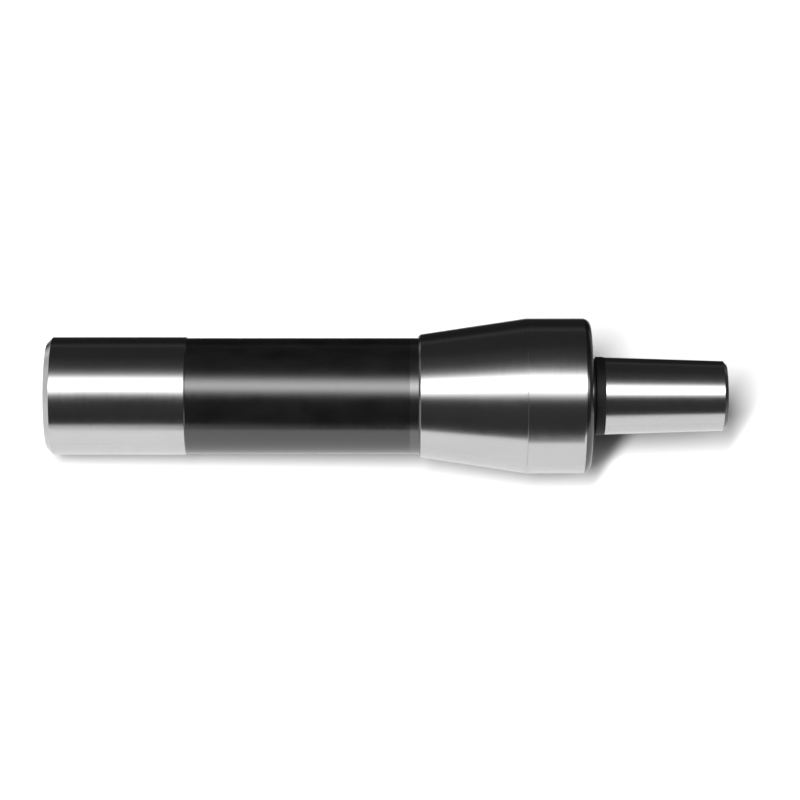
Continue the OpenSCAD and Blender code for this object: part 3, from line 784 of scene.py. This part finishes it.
def makeFrontBearing():
    f = front
    steel = "bearingSteel"
    landR = f["pitchR"] + f["land"]
    stepBack = f["shieldBackX"]
    stepFront = f["highX"] - f["shieldInset"]
    half = math.degrees(math.asin(f["land"] / f["grooveR"]))
    outer = [(f["lowX"], f["r"] - f["edge"]), (f["lowX"] + f["edge"], f["r"]),
             (f["highX"] - f["edge"], f["r"]), (f["highX"], f["r"] - f["edge"]),
             (f["highX"], landR + f["fineEdge"]), (f["highX"] - f["fineEdge"], landR), (stepFront, landR),
             (stepFront, f["stepR"]), (stepFront - f["shieldT"], f["stepR"]),
             (stepFront - f["shieldT"], landR)]
    back = [(stepBack + f["shieldT"], landR), (stepBack + f["shieldT"], f["stepR"]),
            (stepBack, f["stepR"]), (stepBack, landR), (f["lowX"] + f["fineEdge"], landR),
            (f["lowX"], landR + f["fineEdge"])]
    groove = arcCorners(f["midX"], f["pitchR"], f["grooveR"], half, 180 - half, steel)
    corners = edged(outer, 0.03, steel) + groove + edged(back, 0.03, steel)
    makeRing("frontOuterRace", "housing", "front_outer_race", "bearing_steel", corners)
    landR = f["pitchR"] - f["land"]
    start = [(f["lowX"], landR - f["edge"]), (f["lowX"] + f["edge"], landR)]
    end = [(f["highX"] - f["edge"], landR), (f["highX"], landR - f["edge"]),
           (f["highX"], f["boreR"] + f["fineEdge"]), (f["highX"] - f["fineEdge"], f["boreR"]),
           (f["lowX"] + f["fineEdge"], f["boreR"]), (f["lowX"], f["boreR"] + f["fineEdge"])]
    groove = arcCorners(f["midX"], f["pitchR"], f["grooveR"], half - 180, -half, steel)
    corners = edged(start, 0.03, steel) + groove + edged(end, 0.03, steel)
    makeRing("frontInnerRace", "spindle", "front_inner_race", "bearing_steel", corners)
    for name, node, x in (("frontShieldOuter", "front_shield_outer", stepFront - f["shieldT"]),
                          ("frontShieldInner", "front_shield_inner", stepBack)):
        low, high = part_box(node)
        outline = [(x, high.y / mm), (x + f["shieldT"], high.y / mm), (x + f["shieldT"], f["shieldIn"]),
                   (x, f["shieldIn"])]
        makeRing(name, "housing", node, "shield_steel", edged(outline, 0.05, "shieldSteel"))
    low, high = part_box("bearing_shim")
    outline = [(low.x / mm, high.y / mm), (high.x / mm, high.y / mm), (high.x / mm, f["shimIn"]),
               (low.x / mm, f["shimIn"])]
    makeRing("bearingShim", "housing", "bearing_shim", "shim_brass", edged(outline, 0.02, "brass"))
    makeRing("noseSeal", "housing", "nose_seal", "seal_rubber",
             arcCorners(seal["x"], seal["pitchR"], seal["r"], 180, -180, "sealRubber", 33)[:-1])


def makeThrustBearing():
    t = thrust
    steel = "bearingSteel"
    half = math.degrees(math.asin((t["midX"] - t["faceX"]) / t["grooveR"]))
    groove = arcCorners(t["midX"], t["pitchR"], t["grooveR"], 90 + half, 270 - half, steel, 17)
    corners = edged([(t["backX"], t["r"] - t["edge"]), (t["backX"] + t["edge"], t["r"]),
                     (t["faceX"] - t["edge"], t["r"]), (t["faceX"], t["r"] - t["edge"])], 0.04, steel)
    corners += groove + edged([(t["faceX"], t["boreR"] + t["edge"]), (t["faceX"] - t["edge"], t["boreR"]),
                               (t["backX"] + t["edge"], t["boreR"]),
                               (t["backX"], t["boreR"] + t["edge"])], 0.04, steel)
    makeRing("thrustHousingWasher", "housing", "thrust_housing_washer", "bearing_steel", corners)
    groove = arcCorners(t["midX"], t["pitchR"], t["grooveR"], half - 90, 90 - half, steel, 17)
    corners = edged([(t["shaftBackX"], t["shaftBoreR"] + t["edge"])], 0.04, steel) + groove
    corners += edged([(t["shaftBackX"], t["shaftR"] - t["edge"]),
                      (t["shaftBackX"] + t["edge"], t["shaftR"]),
                      (t["shaftFaceX"] - t["edge"], t["shaftR"]),
                      (t["shaftFaceX"], t["shaftR"] - t["edge"]),
                      (t["shaftFaceX"], t["shaftBoreR"] + t["edge"]),
                      (t["shaftFaceX"] - t["edge"], t["shaftBoreR"]),
                      (t["shaftBackX"] + t["edge"], t["shaftBoreR"])], 0.04, steel)
    makeRing("thrustShaftWasher", "spindle", "thrust_shaft_washer", "bearing_steel", corners)
    spring = [(t["springFrontX"] - t["springT"], t["springIn"]), (t["springBackX"], t["springOut"]),
              (t["springBackX"] + t["springT"], t["springOut"]), (t["springFrontX"], t["springIn"])]
    corners = edged(spring, 0.1, "springSteel")
    makeRing("preloadSpring", "housing", "preload_spring", "spring_steel", corners)


def makeNeedleCup():
    n = needle
    steel = "bearingSteel"
    insideR = n["cupR"] - n["wall"]
    corners = [(n["cupX"], n["cupR"], n["bend"], steel), (n["cupEndX"], n["cupR"], n["bend"], steel),
               (n["cupEndX"], n["lipR"], 0.2, steel), (n["cupEndX"] - n["lip"], n["lipR"], 0.2, steel),
               (n["cupEndX"] - n["lip"], insideR, 0.1, steel), (n["cupX"] + n["lip"], insideR, 0.1, steel),
               (n["cupX"] + n["lip"], n["lipR"], 0.2, steel), (n["cupX"], n["lipR"], 0.2, steel)]
    makeRing("needleCup", "housing", "needle_cup", "bearing_steel", corners)


def onPitch(points, count, x, pitchR):
    # Copies of a grid moved to a pitch circle, the first at +Z, and turned round X by equal steps.
    placed = points + np.array([x, 0.0, pitchR])
    turns = 2 * math.pi * np.arange(count) / count
    for angle in turns:
        c, k = math.cos(angle), math.sin(angle)
        yield placed @ np.array([[1, 0, 0], [0, c, k], [0, -k, c]])


def makeRollingSets():
    # A ball is a half circle turned round X. A roller is a rod with crowned, rounded ends.
    bearing = spinAngles(48)
    sets = (("frontBalls", "front_cage", "front_balls", front),
            ("thrustBalls", "thrust_cage", "thrust_balls", thrust))
    for name, body, node, look in sets:
        half = np.linspace(math.pi, 0, 25)
        outline = np.stack([np.cos(half), np.sin(half)], 1) * look["ballR"]
        shell = Shell()
        for grid in onPitch(turned(outline, bearing), look["ballCount"], look["midX"], look["pitchR"]):
            shell.add(grid, "ballSteel")
        shell.build(name, body, node, "ball_steel", finishes)
    n = needle
    reach = n["rollerLength"] / 2
    outline = [(-reach, 0.0, 0.0, "ballSteel"), (-reach, n["rollerR"], 0.16, "ballSteel"),
               (reach, n["rollerR"], 0.16, "ballSteel"), (reach, 0.0, 0.0, "ballSteel")]
    points, names = roundedProfile(outline)
    shell = Shell()
    for grid in onPitch(turned(points, spinAngles(32)), n["rollerCount"], n["midX"], n["pitchR"]):
        shell.add(grid, names)
    shell.build("needleRollers", "needle_cage", "needle_rollers", "ball_steel", finishes)


def dressCages():
    # The cages keep their own shape and only take a finish.
    finish = {"front_cage_outer_half": "cageSteel", "front_cage_inner_half": "cageSteel",
              "front_cage_rivets": "cageSteel", "thrust_cage": "brass", "needle_cage": "cageSteel"}
    for node, name in finish.items():
        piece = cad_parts[node]
        piece.data.materials.clear()
        piece.data.materials.append(finishes[name])


makeFrontBearing()
makeThrustBearing()
makeNeedleCup()
makeRollingSets()
dressCages()
print("bearings made")


stage = {
    "restFrontX": cap["backX"], "restFrontR": cap["r"],
    "restBackX": shank["rearX"] + shank["rearChamfer"], "restBackR": shank["pilotR"],
    "floorSpan": 450.0, "floorFront": 105.0, "floorFade": (-32.0, -3.0),
    "seenShade": 0.31, "mirroredShade": 0.22, "sheetGap": 0.02,
    "elevation": 60.0, "distance": 700.0, "span": 164.0, "aimX": -25.8, "aimBelow": 0.85,
    "keyAngle": 67.0, "keyDistance": 1100.0, "keyLeft": 240.0,
    "keyWide": 140.0, "keyDeep": 820.0, "keyPower": 58.0,
}

# Light from each angle round the X axis, in degrees: 0 is the front horizon, 90 overhead, 180 behind.
glow = [(-180, 0.035), (-172, 0.015), (-140, 0.02), (-130, 0.45), (-122, 0.9), (-110, 1.0), (-4, 1.0),
        (0, 0.07), (12, 0.035), (45, 0.045), (54, 0.09), (60, 0.5), (66, 1.6), (72, 3.5), (77, 4.5),
        (84, 4.0), (89, 2.6), (94, 1.4), (99, 0.5), (106, 0.16), (116, 0.06), (140, 0.03), (170, 0.03),
        (176, 0.06), (180, 0.05)]

# Towards the two ends of the axis, the drawbar end at -1 and the nose end at 1, the light depends on
# the height of a direction instead. The fade is from one sideways part to another. Before that, the
# floor behind takes over from the dark wall, so that the end faces have something pale to reflect.
ends = [
    {"side": -1, "floor": 0.9, "fade": (0.7, 0.88),
     "glow": [(-1.0, 0.8), (0.1, 0.8), (0.6, 0.7), (1.0, 0.6)]},
    {"side": 1, "floor": 0.4, "fade": (0.75, 0.92),
     "glow": [(-1.0, 0.8), (-0.45, 0.7), (-0.3, 0.2), (0.2, 0.12), (1.0, 0.35)]},
]
wallToFloor = {"X": (0.45, 0.65), "Y": (0.0, 0.3), "Z": (-0.1, -0.3)}

# How far the front horizon and the overhead strip lean, in degrees, over the sideways part of a
# direction: the light's edges aren't straight, because cards and stands shade them.
horizonLean = [(-0.4, -7), (-0.2, -7), (-0.1, 5), (-0.065, 3), (-0.045, -11), (0.05, -13), (0.1, 0),
               (0.4, 3)]
stripLean = [(-0.4, 2), (-0.2, 2), (-0.1, -5), (-0.05, -1.5), (0.0, 1.5), (0.05, 3.5), (0.1, 2), (0.4, 1)]


def fadeTowardsPart(tree, shader):
    # The sheet turns clear towards the part, so that no edge of it shows in the polished steel.
    coordinates = tree.nodes.new("ShaderNodeTexCoord")
    split = tree.nodes.new("ShaderNodeSeparateXYZ")
    clear = tree.nodes.new("ShaderNodeBsdfTransparent")
    mixed = tree.nodes.new("ShaderNodeMixShader")
    link(tree, coordinates, "Object", split, "Vector")
    far, near = stage["floorFade"]
    share = remap(tree, split, "Y", far * mm, near * mm, 0.0, 1.0)
    link(tree, share, "Result", mixed, 0)
    link(tree, shader, "BSDF", mixed, 1)
    link(tree, clear, "BSDF", mixed, 2)
    link(tree, mixed, "Shader", tree.nodes["Material Output"], "Surface")


def makeFloor():
    # The part lies on the cap's rear edge and the shank's rear end, so the floor slopes from one to
    # the other in a straight line. One sheet is seen, and a greyer one in front shows in reflections.
    s = stage
    slope = (s["restBackR"] - s["restFrontR"]) / (s["restFrontX"] - s["restBackX"])
    x = np.array([-s["floorSpan"], s["floorSpan"]])
    z = (x - s["restFrontX"]) * slope - s["restFrontR"]
    sheets = {"floorSeen": (-s["floorSpan"], s["floorSpan"], s["seenShade"], 0.0),
              "floorMirrored": (-s["floorFront"], 0.0, s["mirroredShade"], s["sheetGap"])}
    for name, (yLow, yHigh, shade, drop) in sheets.items():
        material, tree, shader = newMaterial(name)
        shader.inputs["Base Color"].default_value = (shade, shade, shade, 1)
        shader.inputs["Roughness"].default_value = 0.9
        shader.inputs["Specular IOR Level"].default_value = 0.0
        mesh = bpy.data.meshes.new(name)
        corners = [(x[0], yLow, z[0] - drop), (x[1], yLow, z[1] - drop),
                   (x[1], yHigh, z[1] - drop), (x[0], yHigh, z[0] - drop)]
        mesh.from_pydata((np.array(corners) * mm).tolist(), [], [(0, 1, 2, 3)])
        mesh.materials.append(material)
        plane = bpy.data.objects.new(name, mesh)
        bpy.context.scene.collection.objects.link(plane)
        seen = name == "floorSeen"
        if not seen:
            fadeTowardsPart(tree, shader)
        plane.visible_camera = seen
        plane.visible_glossy = not seen
        plane.visible_diffuse = not seen
        plane.visible_shadow = not seen


def rampOf(tree, source, output, points, low, high):
    # A colour ramp as a graph of value over position. Returns a node that gives the value itself.
    place = remap(tree, source, output, low, high, 0.0, 1.0)
    ramp = tree.nodes.new("ShaderNodeValToRGB")
    link(tree, place, "Result", ramp, "Fac")
    elements = ramp.color_ramp.elements
    bottom = min(value for spot, value in points)
    top = max(value for spot, value in points)
    for spot, value in points:
        share = (spot - low) / (high - low)
        ends = {low: elements[0], high: elements[-1]}
        element = ends[spot] if spot in ends else elements.new(share)
        level = (value - bottom) / (top - bottom)
        element.color = (level, level, level, 1)
    return remap(tree, ramp, "Color", 0.0, 1.0, bottom, top)


def blended(tree, first, second, share, output):
    # first + (second - first) * share, as a node with a Result.
    node = tree.nodes.new("ShaderNodeMix")
    link(tree, share, output, node, "Factor")
    link(tree, first, "Result", node, "A")
    link(tree, second, "Result", node, "B")
    return node


def makeWorld():
    # The studio's light depends on the angle round the X axis, atan2(z, -y), plus a small lean that
    # depends on the sideways part of the direction. Camera rays see a plain white wall.
    world = bpy.data.worlds.new("studio")
    world.use_nodes = True
    bpy.context.scene.world = world
    tree = world.node_tree
    background = tree.nodes["Background"]
    coordinates = tree.nodes.new("ShaderNodeTexCoord")
    split = tree.nodes.new("ShaderNodeSeparateXYZ")
    link(tree, coordinates, "Generated", split, "Vector")
    front = combine(tree, "MULTIPLY", split, "Y", -1.0)
    radians = combine(tree, "ARCTAN2", split, "Z", front, "Value")
    angle = combine(tree, "MULTIPLY", radians, "Value", 180 / math.pi)
    low = rampOf(tree, split, "X", horizonLean, -0.4, 0.4)
    high = rampOf(tree, split, "X", stripLean, -0.4, 0.4)
    lowWeight = combine(tree, "MULTIPLY", remap(tree, angle, "Value", 40.0, 15.0, 0.0, 1.0), "Result",
                        remap(tree, angle, "Value", -60.0, -30.0, 0.0, 1.0), "Result")
    highWeight = combine(tree, "MULTIPLY", remap(tree, angle, "Value", 40.0, 58.0, 0.0, 1.0), "Result",
                         remap(tree, angle, "Value", 140.0, 110.0, 0.0, 1.0), "Result")
    lowPart = combine(tree, "MULTIPLY", low, "Result", lowWeight, "Value")
    highPart = combine(tree, "MULTIPLY", high, "Result", highWeight, "Value")
    lean = combine(tree, "SUBTRACT", highPart, "Value", lowPart, "Value")
    leaned = combine(tree, "ADD", angle, "Value", lean, "Value")
    light = rampOf(tree, leaned, "Value", glow, -180, 180)
    back = remap(tree, split, "Y", *wallToFloor["Y"], 0.0, 1.0)
    below = remap(tree, split, "Z", *wallToFloor["Z"], 0.0, 1.0)
    for end in ends:
        start, full = [end["side"] * part for part in wallToFloor["X"]]
        sideways = remap(tree, split, "X", start, full, 0.0, 1.0)
        behind = combine(tree, "MULTIPLY", back, "Result", below, "Result")
        share = combine(tree, "MULTIPLY", behind, "Value", sideways, "Result")
        paleFloor = remap(tree, split, "X", -1.0, 1.0, end["floor"], end["floor"])
        light = blended(tree, light, paleFloor, share, "Value")
        start, full = [end["side"] * part for part in end["fade"]]
        share = remap(tree, split, "X", start, full, 0.0, 1.0)
        light = blended(tree, light, rampOf(tree, split, "Z", end["glow"], -1.0, 1.0), share, "Result")
    lightPath = tree.nodes.new("ShaderNodeLightPath")
    level = combine(tree, "MAXIMUM", light, "Result", lightPath, "Is Camera Ray")
    link(tree, level, "Value", background, "Color")


def aim(thing, place, target):
    direction = np.array(target) - np.array(place)
    thing.location = Vector(place)
    thing.rotation_euler = Vector(direction).to_track_quat("-Z", "Y").to_euler()


def makeKeyLight():
    s = stage
    angle = math.radians(s["keyAngle"])
    light = bpy.data.lights.new("keyLight", "AREA")
    light.shape = "RECTANGLE"
    light.size, light.size_y = s["keyWide"] * mm, s["keyDeep"] * mm
    light.energy = s["keyPower"]
    thing = bpy.data.objects.new("keyLight", light)
    bpy.context.scene.collection.objects.link(thing)
    place = (s["aimX"] - s["keyLeft"], -s["keyDistance"] * math.cos(angle),
             s["keyDistance"] * math.sin(angle))
    aim(thing, np.array(place) * mm, np.array([s["aimX"], 0, 0]) * mm)
    thing.visible_glossy = False


def makeCamera():
    s = stage
    tilt = math.radians(s["elevation"])
    back = np.array([0, -math.cos(tilt), math.sin(tilt)])
    up = np.array([0, math.sin(tilt), math.cos(tilt)])
    target = np.array([s["aimX"], 0, 0]) - s["aimBelow"] * up
    data = bpy.data.cameras.new("camera")
    data.sensor_width = 36
    data.lens = data.sensor_width * s["distance"] / s["span"]
    data.clip_start, data.clip_end = 0.01, 20
    camera = bpy.data.objects.new("camera", data)
    bpy.context.scene.collection.objects.link(camera)
    aim(camera, (target + s["distance"] * back) * mm, target * mm)
    bpy.context.scene.camera = camera


makeFloor()
makeWorld()
makeKeyLight()
makeCamera()
bpy.context.scene.view_settings.view_transform = "Standard"
print("stage made")
